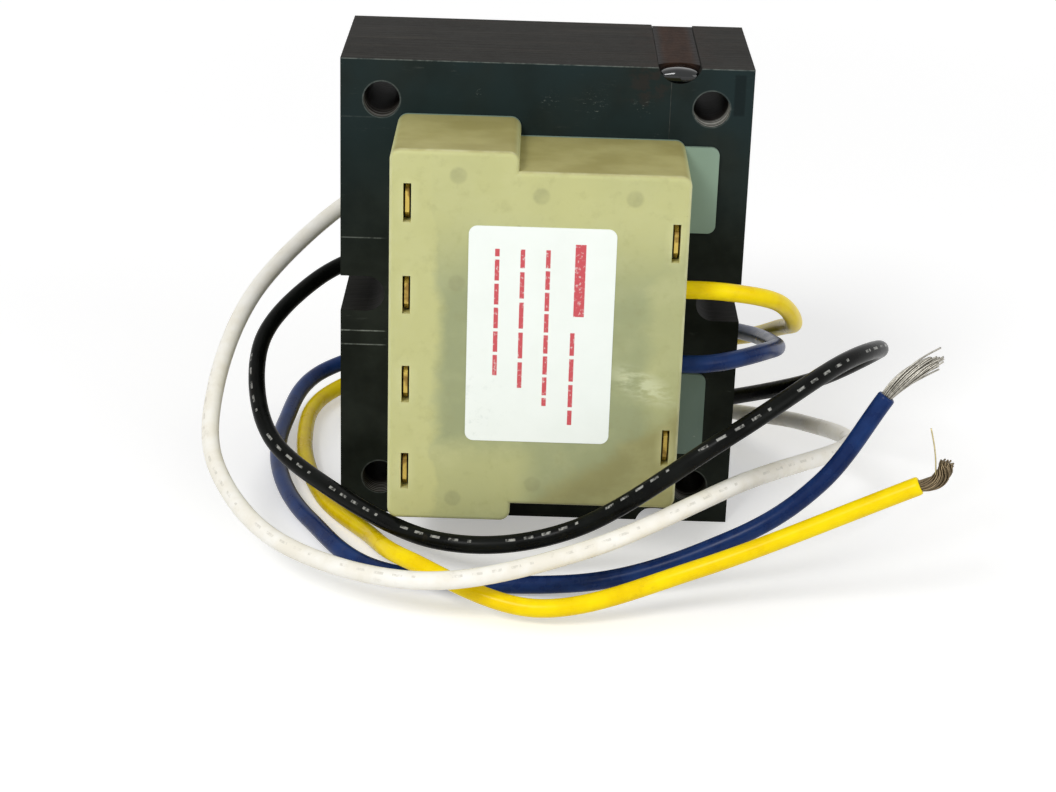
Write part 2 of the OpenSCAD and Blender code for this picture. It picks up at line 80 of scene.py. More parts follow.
def place_camera():
    """Camera that looks along +Y, tipped down and rolled a little."""
    turn, tip, roll = CAMERA_TURN, CAMERA_TIP, CAMERA_ROLL
    ahead = np.array([-math.sin(turn) * math.cos(tip), math.cos(turn) * math.cos(tip), -math.sin(tip)])
    right = np.array([math.cos(turn), math.sin(turn), 0.0])
    up = np.cross(right, ahead)
    across = math.cos(roll) * right + math.sin(roll) * up
    above = -math.sin(roll) * right + math.cos(roll) * up
    camera = bpy.data.objects.new("camera", bpy.data.cameras.new("camera"))
    camera.data.sensor_width = SENSOR_WIDTH
    camera.data.lens = CAMERA_LENS
    camera.data.clip_start = NEAREST_SEEN
    stand(camera, across, above, -ahead, CAMERA_PLACE)
    bpy.context.scene.camera = camera


# ---------------------------------------------------------------- finishes
# sockets of a colour Mix node, which has several of each name
MIX_SHARE, MIX_FIRST, MIX_SECOND, MIX_RESULT = 0, 6, 7, 2


def tone(red, green, blue):
    """A display colour given as 0 to 255, as the linear colour that a shader takes, by the sRGB curve."""
    shown = np.array([red, green, blue]) / 255
    linear = np.where(shown <= 0.04045, shown / 12.92, ((shown + 0.055) / 1.055) ** 2.4)
    return (*linear.tolist(), 1.0)


class Finish:
    """A node material under way. add() makes a node and links or sets its sockets; the other calls are the
    patterns that several finishes share. A pattern is read at the piece's own Object coordinates."""

    def __init__(self, name, turned=False, **sockets):
        self.material = bpy.data.materials.new(name)
        self.material.use_nodes = True
        self.tree = self.material.node_tree
        self.shader = self.tree.nodes["Principled BSDF"]
        for socket, value in sockets.items():
            self.shader.inputs[socket.replace("_", " ")].default_value = value
        place = self.add("ShaderNodeTexCoord")["Object"]
        if turned:
            place = self.add("ShaderNodeMapping", Vector=place, Rotation=(0, 0, math.pi))["Vector"]
        self.place = place
        split = self.add("ShaderNodeSeparateXYZ", Vector=place)
        self.x, self.y, self.z = split["X"], split["Y"], split["Z"]

    def add(self, kind, settings=(), **sockets):
        """Outputs of a new node. A socket is given by its name, or by its number as at0, at1 and so on."""
        node = self.tree.nodes.new(kind)
        for key, value in dict(settings).items():
            setattr(node, key, value)
        for socket, value in sockets.items():
            key = int(socket[2:]) if socket.startswith("at") else socket.replace("_", " ")
            self.feed(node.inputs[key], value)
        return node.outputs

    def feed(self, socket, value):
        """Links an output to a socket, or sets the socket to a plain value."""
        if isinstance(value, bpy.types.NodeSocket):
            self.tree.links.new(value, socket)
        else:
            socket.default_value = value

    def math(self, operation, *values, clamp=False):
        settings = {"operation": operation, "use_clamp": clamp}
        return self.add("ShaderNodeMath", settings, **{f"at{i}": v for i, v in enumerate(values)})[0]

    def plus(self, value, more, clamp=False):
        return self.math("ADD", value, more, clamp=clamp)

    def minus(self, value, less):
        return self.math("SUBTRACT", value, less)

    def times(self, value, factor):
        return self.math("MULTIPLY", value, factor)

    def unsigned(self, value):
        return self.math("ABSOLUTE", value)

    def facing(self):
        """X, Y and Z of the direction that the surface faces."""
        return self.add("ShaderNodeSeparateXYZ", Vector=self.add("ShaderNodeNewGeometry")["Normal"])

    def noise(self, size, stretch=(1, 1, 1), detail=3.0, rough=0.55):
        """Cloudy pattern from 0 to 1 whose lumps are about size metres, drawn out by stretch."""
        scale = tuple(1 / (size * s) for s in stretch)
        scaled = self.add("ShaderNodeMapping", Vector=self.place, Scale=scale)["Vector"]
        return self.add("ShaderNodeTexNoise", Vector=scaled, Scale=1.0, Detail=detail,
                        Roughness=rough)["Fac"]

    def between(self, value, low, high, start=0.0, end=1.0):
        """start below low, end above high, and a smooth slope between them."""
        settings = {"interpolation_type": "SMOOTHSTEP"}
        return self.add("ShaderNodeMapRange", settings, Value=value, From_Min=low, From_Max=high,
                        To_Min=start, To_Max=end)["Result"]

    def near(self, value, centre, half, soft):
        """1 where value is within half of centre, and 0 beyond a soft edge."""
        off = self.unsigned(self.minus(value, centre))
        return self.between(off, half - soft / 2, half + soft / 2, 1.0, 0.0)

    def apart(self, first, second, first_centre, second_centre):
        """Distance in the plane of two coordinates from a centre."""
        at = self.add("ShaderNodeCombineXYZ", X=first, Y=second)[0]
        return self.add("ShaderNodeVectorMath", {"operation": "DISTANCE"},
                        at0=at, at1=(first_centre, second_centre, 0.0))["Value"]

    def both(self, *masks):
        """Product of the masks: where all of them are."""
        product = masks[0]
        for mask in masks[1:]:
            product = self.times(product, mask)
        return product

    def either(self, *masks):
        """Greatest of the masks: where any of them is."""
        most = masks[0]
        for mask in masks[1:]:
            most = self.math("MAXIMUM", most, mask)
        return most

    def blend(self, share, first, second):
        """first where share is 0, second where it is 1."""
        mix = self.tree.nodes.new("ShaderNodeMix")
        mix.data_type = "RGBA"
        self.feed(mix.inputs[MIX_SHARE], share)
        self.feed(mix.inputs[MIX_FIRST], first)
        self.feed(mix.inputs[MIX_SECOND], second)
        return mix.outputs[MIX_RESULT]

    def colour(self, value):
        self.feed(self.shader.inputs["Base Color"], value)

    def roughness(self, value):
        self.feed(self.shader.inputs["Roughness"], value)

    def relief(self, height, depth, strength=1.0):
        """Surface relief: height from 0 to 1 stands for depth metres."""
        bump = self.add("ShaderNodeBump", Height=height, Distance=depth, Strength=strength)["Normal"]
        self.feed(self.shader.inputs["Normal"], bump)


def dress(finish, *node_names):
    """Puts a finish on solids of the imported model."""
    for node_name in node_names:
        mesh = nodes[node_name].data
        mesh.materials.clear()
        mesh.materials.append(finish.material)


# ---------------------------------------------------------------- steel of the core
SHEET_PITCH = 0.635 * MM
HOLE_RADIUS = 2.8 * MM
# half the spacing of the corner holes, across and up
HOLE_X, HOLE_Z = 25.4 * MM, 31.75 * MM
# height in millimetres and strength of the pale lines at the left of the sheets, and where they fade out
SIDE_LINES = [(47.4, 0.45), (31.8, 0.95), (29.45, 0.6), (67.0, 0.10)]
SIDE_LINE_END = (-25.4 * MM, -24.2 * MM)
# x, z and reach of the clusters of specks, in millimetres
SPECK_PLACES = [(-10.4, 71.2, 1.3), (0.6, 70.6, 2.4), (7.3, 70.4, 3.2), (14.8, 70.0, 2.4), (17.5, 65.0, 1.2)]
# middle of the rusty patch under the weld, and middle and half size of the dent pressed into the bar
RUST_X, RUST_Z = 15.7 * MM, 73.4 * MM
DENT_X, DENT_Z = 29.6 * MM, 72.1 * MM
DENT_HALF_X, DENT_HALF_Z = 0.85 * MM, 3.2 * MM
STEEL = {
    "face": tone(20, 23, 18),
    "face_light": tone(38, 42, 37),
    # painted reflection: teal tint of the face high up
    "teal_reflection": tone(33, 45, 46),
    "rust": tone(60, 44, 38),
    "scuff": tone(92, 96, 92),
    # pale marks, also used for the painted highlights on the top edge and the hole rims
    "mark": tone(150, 156, 150),
    # painted shade in the dent
    "dent": tone(12, 15, 16),
    "side": tone(12, 12, 10),
    "side_light": tone(34, 33, 29),
    "hole": tone(30, 24, 19),
    "hole_painted_light": tone(225, 225, 216),
    "top": tone(16, 14, 12),
    "top_light": tone(44, 41, 36),
    "dust": tone(62, 56, 48),
    "stain": tone(40, 31, 26),
}


def hole_distance(f):
    """Distance from the axis of the nearest corner hole, with the four holes folded onto one."""
    return f.apart(f.unsigned(f.x), f.unsigned(f.minus(f.z, middle_z)), HOLE_X, HOLE_Z)


def marks_and_highlights_on_steel(f):
    """Share of pale marks on the front of the stack: painted highlights on the rims of the corner holes, lines
    of the sheets' own dies at the left, a line where the bar meets the sheets, a painted highlight along the
    top edge and small clusters of specks."""
    broken = f.between(f.noise(1.2 * MM, detail=6.0, rough=0.7), 0.36, 0.60, 0.25, 1.0)
    at_left = f.between(f.x, *SIDE_LINE_END, 1, 0)
    lines = f.either(*[f.times(f.both(f.near(f.z, height * MM, 0.09 * MM, 0.14 * MM), at_left), strength)
                       for height, strength in SIDE_LINES])
    seam = f.both(f.near(f.x, seam_x, 0.05 * MM, 0.10 * MM), f.between(f.z, 52 * MM, 60 * MM, 0.0, 0.35))
    # painted highlight along the top edge of the face
    top_edge_highlight = f.times(f.near(f.z, stack_top, 0.16 * MM, 0.16 * MM), 0.5)
    # painted highlight on the rims of the corner holes
    rim = f.times(f.near(hole_distance(f), HOLE_RADIUS + 0.10 * MM, 0.10 * MM, 0.12 * MM), 0.28)
    speck = f.between(f.noise(0.42 * MM, (2.4, 1, 0.7), detail=6.0, rough=0.8), 0.58, 0.66)
    near_speck = f.either(*[f.between(f.apart(f.x, f.z, x * MM, z * MM), 0.0, reach * MM, 0.9, 0.0)
                            for x, z, reach in SPECK_PLACES])
    marks = f.both(f.either(lines, seam, top_edge_highlight, rim), broken)
    return f.either(marks, f.both(speck, near_speck))


def sheet_edges(f):
    """Shade of the sheets' edges: noise that changes quickly through the stack and slowly along it, so that
    each sheet has its own, and a sine of one wave per sheet."""
    grain = f.noise(SHEET_PITCH, (60, 1.0, 60), detail=1.0)
    lines = f.math("SINE", f.times(f.y, 2 * math.pi / SHEET_PITCH))
    return f.plus(f.times(grain, 0.75), f.times(lines, 0.12))


def steel_face(f, cloud, dent):
    """Colour of the front and rear faces: dark with clouds, bluer high up in a painted reflection, a little
    rust under the weld, scuffs, pale marks with painted highlights, and painted shade in the dent."""
    colour = f.blend(f.between(cloud, 0.3, 0.7), STEEL["face"], STEEL["face_light"])
    # painted reflection: the face is tinted teal high up, where it reflects a bluish surround
    high_up = f.between(f.z, stack_top * 0.50, stack_top * 0.97)
    teal_reflection = f.both(high_up, f.between(f.noise(16 * MM, detail=3.0), 0.30, 0.60, 0.35, 1.0))
    colour = f.blend(teal_reflection, colour, STEEL["teal_reflection"])
    rust = f.both(f.between(f.apart(f.x, f.z, RUST_X, RUST_Z), 1 * MM, 6 * MM, 0.30, 0.0),
                  f.between(f.noise(1.5 * MM, detail=6.0), 0.45, 0.60))
    colour = f.blend(rust, colour, STEEL["rust"])
    scuff = f.both(f.between(f.noise(1.8 * MM, (3.5, 1, 0.6), detail=8.0, rough=0.75), 0.58, 0.72),
                   f.between(f.noise(9 * MM), 0.46, 0.60))
    colour = f.blend(f.times(scuff, 0.40), colour, STEEL["scuff"])
    # pale marks, together with the painted highlights of the top edge and the hole rims
    colour = f.blend(f.times(marks_and_highlights_on_steel(f), 0.75), colour, STEEL["mark"])
    # painted shade: the dent is painted darker
    return f.blend(f.times(dent, 0.45), colour, STEEL["dent"])


def steel_sides(f, edge):
    """Colour of the side edges and of the hole walls: dark inside, with painted light on sheet edges near the
    mouth.
    """
    side = f.blend(edge, STEEL["side"], STEEL["side_light"])
    # painted light: sheet edges on the hole walls near the mouth, strongest in the upper right hole
    mouth = f.between(f.unsigned(f.y), -front_face - 5 * MM, -front_face - MM)
    mouth = f.both(mouth, f.between(f.plus(f.x, f.z), 60 * MM, 90 * MM, 0.25, 1.0))
    wall = f.blend(f.both(mouth, f.between(edge, 0.28, 0.50)), STEEL["hole"], STEEL["hole_painted_light"])
    in_hole = f.between(hole_distance(f), HOLE_RADIUS * 1.01, HOLE_RADIUS * 1.05, 1.0, 0.0)
    return f.blend(in_hole, side, wall)


def steel_top(f, edge, dustiness):
    """Colour of the top edges: browner and paler than the sides in a painted warm reflection, dusty, and
    stained on both sides of the weld.
    """
    # painted reflection: the top is browner and paler than the sides, where it reflects a warm surround
    top = f.blend(edge, STEEL["top"], STEEL["top_light"])
    dust = f.between(f.noise(4 * MM, (9, 1, 0.5), detail=6.0, rough=0.65), 0.48, 0.74)
    top = f.blend(f.times(dust, 0.35 * dustiness), top, STEEL["dust"])
    stain = f.both(f.between(f.unsigned(f.minus(f.x, groove_x)), 3 * MM, 8 * MM, 0.7, 0.0),
                   f.between(f.noise(3 * MM, detail=5.0), 0.35, 0.65))
    return f.blend(stain, top, STEEL["stain"])


def varnished_steel(name, dustiness):
    """Blue-black sheet steel under varnish. Edges of the sheets show as fine lines through the stack, browner
    on the upper side in a painted warm reflection; the faces are smoother, with scuffs, pale lines, painted
    highlights and a painted teal reflection high up. Walls of the corner holes stay dark inside and get painted
    light near their mouths. dustiness is the share of dust on the upper side."""
    f = Finish(name, Specular_IOR_Level=0.04)
    facing = f.facing()
    on_face = f.between(f.unsigned(facing["Y"]), 0.6, 0.9)
    on_top = f.both(f.between(facing["Z"], 0.5, 0.9), f.between(f.z, stack_top - 2 * MM, stack_top - MM))
    edge = sheet_edges(f)
    cloud = f.noise(14 * MM, detail=5.0, rough=0.6)
    dent = f.both(f.near(f.x, DENT_X, DENT_HALF_X, 0.4 * MM), f.near(f.z, DENT_Z, DENT_HALF_Z, 0.5 * MM))
    colour = f.blend(on_top, steel_sides(f, edge), steel_top(f, edge, dustiness))
    f.colour(f.blend(on_face, colour, steel_face(f, cloud, dent)))
    f.roughness(f.plus(f.between(on_face, 0.0, 1.0, 0.50, 0.32), f.times(cloud, 0.14)))
    ridges = f.both(f.minus(1.0, on_face), edge)
    pits = f.both(on_face, f.noise(1.4 * MM, detail=3.0))
    height = f.plus(ridges, f.times(pits, 0.12))
    f.relief(f.minus(height, f.times(dent, 0.8)), 0.06 * MM, 0.8)
    return f


# ---------------------------------------------------------------- nylon of the covers and the bobbin
# x of the column of four slots and of the pair on the other side; pitch of the column; rise of the pair from
# mid-height; how much shorter a slot's rim counts along the slot than across it
COLUMN_X, PAIR_X = -20.2 * MM, 19.8 * MM
SLOT_PITCH = 14.4 * MM
PAIR_RISE = 16.5 * MM
RIM_SQUASH = 0.42
# x and z of the ejector pins' round marks, in millimetres
EJECTOR_MARKS = [(-12.7, 64.1), (-12.7, 47.4), (-12.7, 12.1), (-0.4, 61.3), (-0.4, 14.9), (13.4, 61.3)]
# middle of the painted reflection streak, in x halved and in z tilted by its fall
STREAK_X, STREAK_Z = 7.9 * MM, 37.8 * MM
STREAK_FALL = 0.38
SUBSURFACE_RADIUS = (1.0, 0.9, 0.45)
NYLON = {
    "wall": tone(154, 160, 120),
    "wall_painted_glow": tone(193, 193, 135),
    # painted shadow of the black lead
    "lead_shadow": tone(152, 146, 94),
    "patch": tone(206, 207, 156),
    "fleck": tone(146, 144, 96),
    # pale tone of the painted reflection streak
    "rub": tone(212, 216, 176),
    # painted shade: the end walls take less light, so their tones are darker
    "shaded_end_wall": tone(160, 151, 92),
    "shaded_end_wall_pale": tone(180, 173, 114),
    # tone of the painted highlights on the arrises
    "worn": tone(222, 223, 176),
    "mark": tone(140, 140, 104),
    # paler tone painted on the slot rims as a highlight
    "rim": tone(214, 214, 160),
    "scuff": tone(120, 116, 84),
    # painted light on the walls inside the slots
    "slot": tone(242, 238, 176),
}


def painted_nylon_glow(f, x, z, cloud):
    """How much painted glow the wall gets: fully at the left and high up, less at the right and at the lower
    left.
    """
    left = f.between(x, -16.5 * MM, -14.0 * MM, 1.0, 0.0)
    right = f.between(x, 14 * MM, 18 * MM, 0.0, 0.45)
    upper = f.between(z, 43 * MM, 60 * MM, 0.0, 0.95)
    lower = f.both(f.between(z, 18 * MM, 24 * MM, 0.65, 0.0), f.between(x, -4 * MM, 2 * MM, 1.0, 0.0))
    glow = f.either(left, right, upper, lower)
    return f.plus(glow, f.times(f.minus(cloud, 0.5), 0.55), clamp=True)


def painted_lead_shadow(f, x, z):
    """A painted shadow of the black lead over the lower right corner, below a line that rises by three quarters
    of the way across.
    """
    slope = f.minus(z, f.times(x, 0.75))
    return f.both(f.between(slope, 10 * MM, 14 * MM, 1.0, 0.0), f.between(x, -5 * MM, 1 * MM))


def painted_reflection_streak(f):
    """A painted reflection: a pale streak that runs down to the right beside the label, an oval broken by
    drawn-out noise.
    """
    tilted = f.plus(f.z, f.times(f.x, STREAK_FALL))
    oval = f.between(f.apart(f.times(f.x, 0.5), tilted, STREAK_X, STREAK_Z), 0.8 * MM, 3.4 * MM, 1, 0)
    return f.both(oval, f.between(f.noise(1.8 * MM, (2.4, 1, 0.7), detail=7.0, rough=0.65), 0.36, 0.58))


def arris_highlights(f, shaded_end_wall):
    """Painted highlights along the arrises round the cover's face, stronger and weaker along them."""
    at_face = f.near(f.y, cover_face, 0.8 * MM, 0.7 * MM)
    at_left = f.both(f.near(f.x, cover_low.x, 0.35 * MM, 0.4 * MM), at_face)
    at_right = f.both(f.near(f.x, cover_high.x, 0.35 * MM, 0.4 * MM), at_face)
    arris = f.either(at_left, at_right, f.both(shaded_end_wall, at_face))
    return f.both(arris, f.between(f.noise(3.5 * MM, detail=3.0), 0.35, 0.65, 0.20, 0.55))


def ejector_marks(f, fine):
    """Round marks of the ejector pins, seen through the wall."""
    marks = f.either(*[f.between(f.apart(f.x, f.z, x * MM, z * MM), 0.95 * MM, 1.55 * MM, 0.38, 0.0)
                       for x, z in EJECTOR_MARKS])
    return f.both(marks, f.between(fine, 0.3, 0.6, 0.6, 1.0))


def slot_rims(f):
    """Soft rims round the slots: four in a column and two on the other side. The column's height is folded at
    every half pitch, so that one rim serves all four."""
    folded = f.math("PINGPONG", f.plus(f.minus(f.z, middle_z), 5 * SLOT_PITCH), SLOT_PITCH / 2)
    off_slot = f.times(f.minus(folded, SLOT_PITCH / 2), RIM_SQUASH)
    column = f.between(f.apart(f.minus(f.x, COLUMN_X), off_slot, 0, 0), 0.7 * MM, 2.3 * MM, 1.0, 0.0)
    rise = f.minus(f.unsigned(f.minus(f.z, middle_z)), PAIR_RISE)
    off_pair = f.times(rise, RIM_SQUASH)
    pair = f.between(f.apart(f.minus(f.x, PAIR_X), off_pair, 0, 0), 0.7 * MM, 2.0 * MM, 1.0, 0.0)
    return f.either(column, pair)


def lit_slot_walls(f, facing):
    """Walls inside the slots, which face along X, where painted light brightens the shade of the narrow slots.
    """
    at_slot = f.either(f.near(f.x, COLUMN_X, 0.9 * MM, 0.2 * MM), f.near(f.x, PAIR_X, 0.9 * MM, 0.2 * MM))
    return f.both(f.between(f.unsigned(facing["X"]), 0.6, 0.9), at_slot)


def natural_nylon(name, turned=False):
    """Pale yellow-green nylon, thin enough to glow a little, with the glow painted in. It is yellower at the
    sides and along the top and greyer over the open middle; a painted shadow of the black lead crosses its
    lower right corner, round marks and cloudy patches show through, a painted reflection streaks down beside
    the label, its edges carry painted highlights, and each slot has a soft raised rim with a painted highlight
    and painted light on its walls. The end walls are painted darker as shade, and browner in bands."""
    f = Finish(name, turned, Specular_IOR_Level=0.25, Subsurface_Weight=0.12, Subsurface_Scale=0.0012)
    f.shader.inputs["Subsurface Radius"].default_value = SUBSURFACE_RADIUS
    facing = f.facing()
    cloud = f.noise(15 * MM, (1, 1, 1.3), detail=4.0)
    patch = f.noise(6 * MM, (1.4, 1, 1), detail=5.0, rough=0.6)
    fine = f.noise(2.2 * MM, detail=6.0, rough=0.65)
    wander = f.times(f.minus(patch, 0.5), 5 * MM)
    x, z = f.plus(f.x, wander), f.minus(f.z, wander)
    # painted glow: paler where the wall glows, at the left and high up
    colour = f.blend(painted_nylon_glow(f, x, z, cloud), NYLON["wall"], NYLON["wall_painted_glow"])
    # painted shadow of the black lead across the lower right corner
    colour = f.blend(f.times(painted_lead_shadow(f, x, z), 0.75), colour, NYLON["lead_shadow"])
    colour = f.blend(f.between(patch, 0.40, 0.72, 0.0, 0.22), colour, NYLON["patch"])
    colour = f.blend(f.between(fine, 0.50, 0.76, 0.0, 0.22), colour, NYLON["fleck"])
    # painted reflection: a pale streak beside the label
    colour = f.blend(f.times(painted_reflection_streak(f), 0.70), colour, NYLON["rub"])
    # painted shade: the end walls are painted darker than the face
    shaded_end_wall = f.between(f.unsigned(facing["Z"]), 0.55, 0.95, 0.0, 0.92)
    band = f.between(f.noise(7 * MM, (1.6, 1.2, 1), detail=4.0), 0.35, 0.68)
    colour = f.blend(shaded_end_wall, colour, f.blend(band, NYLON["shaded_end_wall"], NYLON["shaded_end_wall_pale"]))
    # painted highlight along the arrises
    colour = f.blend(arris_highlights(f, shaded_end_wall), colour, NYLON["worn"])
    colour = f.blend(ejector_marks(f, fine), colour, NYLON["mark"])
    rims = slot_rims(f)
    # painted highlight: the raised rims round the slots are painted paler
    colour = f.blend(f.times(rims, 0.28), colour, NYLON["rim"])
    scuff = f.both(f.between(f.noise(1.6 * MM, (3, 1, 1), detail=7.0, rough=0.7), 0.62, 0.72),
                   f.between(f.noise(12 * MM), 0.52, 0.62))
    colour = f.blend(f.times(scuff, 0.35), colour, NYLON["scuff"])
    # painted light on the slot walls
    f.colour(f.blend(lit_slot_walls(f, facing), colour, NYLON["slot"]))
    f.roughness(f.between(cloud, 0.3, 0.7, 0.40, 0.52))
    skin = f.noise(0.35 * MM, detail=2.0)
    f.relief(f.plus(f.times(rims, 0.8), f.times(skin, 0.10)), 0.12 * MM, 0.9)
    return f


def bobbin_nylon():
    """Off-white nylon with fine moulded skin, greyer in patches."""
    f = Finish("bobbin_nylon", Roughness=0.5)
    f.colour(f.blend(f.noise(8 * MM, detail=4.0), tone(196, 196, 168), tone(218, 217, 190)))
    f.relief(f.noise(0.4 * MM), 0.05 * MM, 0.5)
    return f


# ---------------------------------------------------------------- film, metal, wire, tape and label
def barrier_film():
    """Grey-green translucent film lying on dark steel, paler high up, with fine drawing lines and a few pale
    flecks."""
    f = Finish("barrier_film", Roughness=0.36, Specular_IOR_Level=0.12)
    cloud = f.noise(9 * MM, (1, 1, 1.6), detail=3.0)
    high = f.between(f.z, 10 * MM, 66 * MM)
    low_tone = f.blend(cloud, tone(98, 117, 108), tone(122, 140, 131))
    high_tone = f.blend(cloud, tone(122, 144, 126), tone(144, 165, 150))
    colour = f.blend(high, low_tone, high_tone)
    fleck = f.between(f.noise(0.9 * MM, detail=5.0), 0.70, 0.76, 0.0, 0.5)
    f.colour(f.blend(fleck, colour, tone(170, 180, 166)))
    f.relief(f.noise(0.5 * MM, (6, 1, 1)), 0.03 * MM, 0.4)
    return f


def terminal_brass():
    """Dull brass that has gone brown in patches, with rolling lines along the blade."""
    f = Finish("terminal_brass", Metallic=0.85)
    patch = f.noise(1.3 * MM, (1, 1, 2.5), detail=5.0, rough=0.65)
    bright = f.blend(patch, tone(178, 152, 70), tone(216, 190, 104))
    f.colour(f.blend(f.between(f.noise(2.4 * MM), 0.50, 0.64, 0.0, 0.75), bright, tone(112, 78, 34)))
    f.roughness(f.between(patch, 0.3, 0.7, 0.30, 0.50))
    f.relief(f.noise(0.2 * MM, (1, 1, 20)), 0.02 * MM, 0.5)
    return f


WIRE_PITCH = 0.6 * MM


def copper_wire():
    """Layers of enamelled copper wire: ribs side by side along X, reddish brown and glossy."""
    f = Finish("enamelled_wire", Metallic=0.6, Roughness=0.3)
    ribs = f.unsigned(f.math("SINE", f.times(f.x, math.pi / WIRE_PITCH)))
    f.colour(f.blend(f.noise(4 * MM), tone(150, 74, 36), tone(184, 100, 52)))
    f.relief(ribs, 0.25 * MM, 0.9)
    return f


def winding_tape():
    """Yellow polyester tape with soft wrinkles across it and darker varnish patches."""
    f = Finish("winding_tape", Roughness=0.28)
    wrinkle = f.noise(2.5 * MM, (0.4, 3, 3), detail=3.0)
    f.colour(f.blend(f.noise(7 * MM, detail=4.0), tone(206, 176, 70), tone(228, 202, 104)))
    f.relief(wrinkle, 0.2 * MM, 0.5)
    return f


def plain_metal(name, dark, light, size):
    """Bare metal in two close tones, with a brushed grain of the size given."""
    f = Finish(name, Metallic=0.9)
    grain = f.noise(size, (1, 6, 1), detail=4.0)
    f.colour(f.blend(grain, dark, light))
    f.roughness(f.between(grain, 0.3, 0.7, 0.26, 0.44))
    f.relief(grain, 0.03 * MM, 0.5)
    return f


RIPPLE_PITCH = 2.1 * MM


def weld_scale():
    """Weld bead under varnish: a rusty brown band with darker sides, rippled across as it was laid."""
    f = Finish("weld_scale", Specular_IOR_Level=0.02)
    from_middle = f.unsigned(f.minus(f.x, groove_x))
    unsteady = f.times(f.noise(1.5 * MM), 12.0)
    ripple = f.math("SINE", f.plus(f.times(f.y, 2 * math.pi / RIPPLE_PITCH), unsteady))
    patch = f.noise(1.6 * MM, (0.6, 3, 1), detail=6.0, rough=0.65)
    rust = f.blend(patch, tone(20, 15, 12), tone(66, 47, 37))
    f.colour(f.blend(f.between(from_middle, 1.9 * MM, 3.0 * MM, 0.0, 0.85), rust, tone(15, 13, 12)))
    f.roughness(f.between(from_middle, 1.5 * MM, 3.2 * MM, 0.55, 0.40))
    f.relief(f.plus(f.times(ripple, 0.10), f.noise(0.8 * MM, detail=5.0)), 0.12 * MM, 0.4)
    return f


# rows of the label: distance from its left edge, half the width, lower and upper end, and half the length
# from dash to dash (none for the bar), in millimetres
LABEL_ROWS = [(16.7, 0.80, 20.6, 32.0, None), (15.9, 0.34, 3.0, 18.1, 2.1), (11.9, 0.34, 6.0, 31.0, 1.7),
              (8.1, 0.34, 8.4, 31.0, 2.4), (4.3, 0.34, 10.4, 31.0, 1.9)]
ROW_SOFTNESS = 0.08 * MM


def label_row(f, x, half_width, low, high, dash):
    """One upright bar of the label, or, if dash is given, a row of dashes that starts at a height of its
    own."""
    middle, half = (low + high) / 2, (high - low) / 2
    row = f.both(f.near(f.x, label_low.x + x * MM, half_width * MM, ROW_SOFTNESS),
                 f.near(f.z, label_low.z + middle * MM, half * MM, ROW_SOFTNESS))
    if dash:
        step = f.math("PINGPONG", f.plus(f.z, x * 0.37 * MM), dash * MM)
        row = f.both(row, f.between(step, 0.10 * dash * MM, 0.16 * dash * MM))
    return row


def label_film():
    """White film with generic red marks: one heavy bar and rows of plain dashes, upright. Its surface has a
    few rubbed patches and soft wrinkles from the wall under it."""
    f = Finish("label_film", Roughness=0.42, Specular_IOR_Level=0.2)
    paper = f.blend(f.noise(6 * MM, detail=5.0), tone(236, 242, 235), tone(246, 251, 246))
    rub = f.both(f.between(f.noise(1.4 * MM, detail=7.0, rough=0.75), 0.54, 0.70),
                 f.between(f.x, label_low.x + 1 * MM, label_low.x + 9 * MM, 1.0, 0.0),
                 f.between(f.z, middle_z - 16 * MM, middle_z + 4 * MM, 1.0, 0.0))
    paper = f.blend(f.times(rub, 0.35), paper, tone(186, 198, 190))
    marks = f.either(*[label_row(f, *row) for row in LABEL_ROWS])
    worn = f.between(f.noise(0.5 * MM, detail=6.0), 0.30, 0.46, 0.45, 0.92)
    f.colour(f.blend(f.times(marks, worn), paper, tone(200, 40, 58)))
    f.relief(f.noise(5 * MM, (1, 1, 2), detail=2.0), 0.12 * MM, 0.35)
    return f


# ---------------------------------------------------------------- the solids in their finishes
LEAD_COLOURS = ("yellow", "blue", "black", "white")
BLADES = [f"{side}_terminal_{number}" for side in ("front", "rear") for number in range(1, 7)]

place_camera()
dress(varnished_steel("varnished_sheets", 1.0), "e_laminations")
dress(varnished_steel("varnished_bar_sheets", 0.7), "i_laminations")
dress(natural_nylon("natural_nylon"), "front_cover")
dress(natural_nylon("natural_nylon_turned", turned=True), "rear_cover")
dress(bobbin_nylon(), "bobbin")
dress(barrier_film(), "front_barrier", "rear_barrier")
dress(copper_wire(), "primary_winding", "secondary_winding")
dress(winding_tape(), "primary_tape", "secondary_tape")
dress(plain_metal("fuse_can", tone(150, 152, 156), tone(196, 198, 202), 0.6 * MM), "secondary_fuse")
dress(weld_scale(), "top_weld", "bottom_weld")
dress(label_film(), "label")
dress(terminal_brass(), *BLADES)
dress(plain_metal("solder", tone(150, 148, 142), tone(202, 200, 194), 0.5 * MM),
      *[f"{colour_name}_joint" for colour_name in LEAD_COLOURS])


# ---------------------------------------------------------------- surfaces
# a direction that no lead or strand follows, against which the level side of a path is taken
UPRIGHT = np.array([0.1, 0.2, 1.0])
# points worked out between two points of a route
CURVE_STEPS = 40


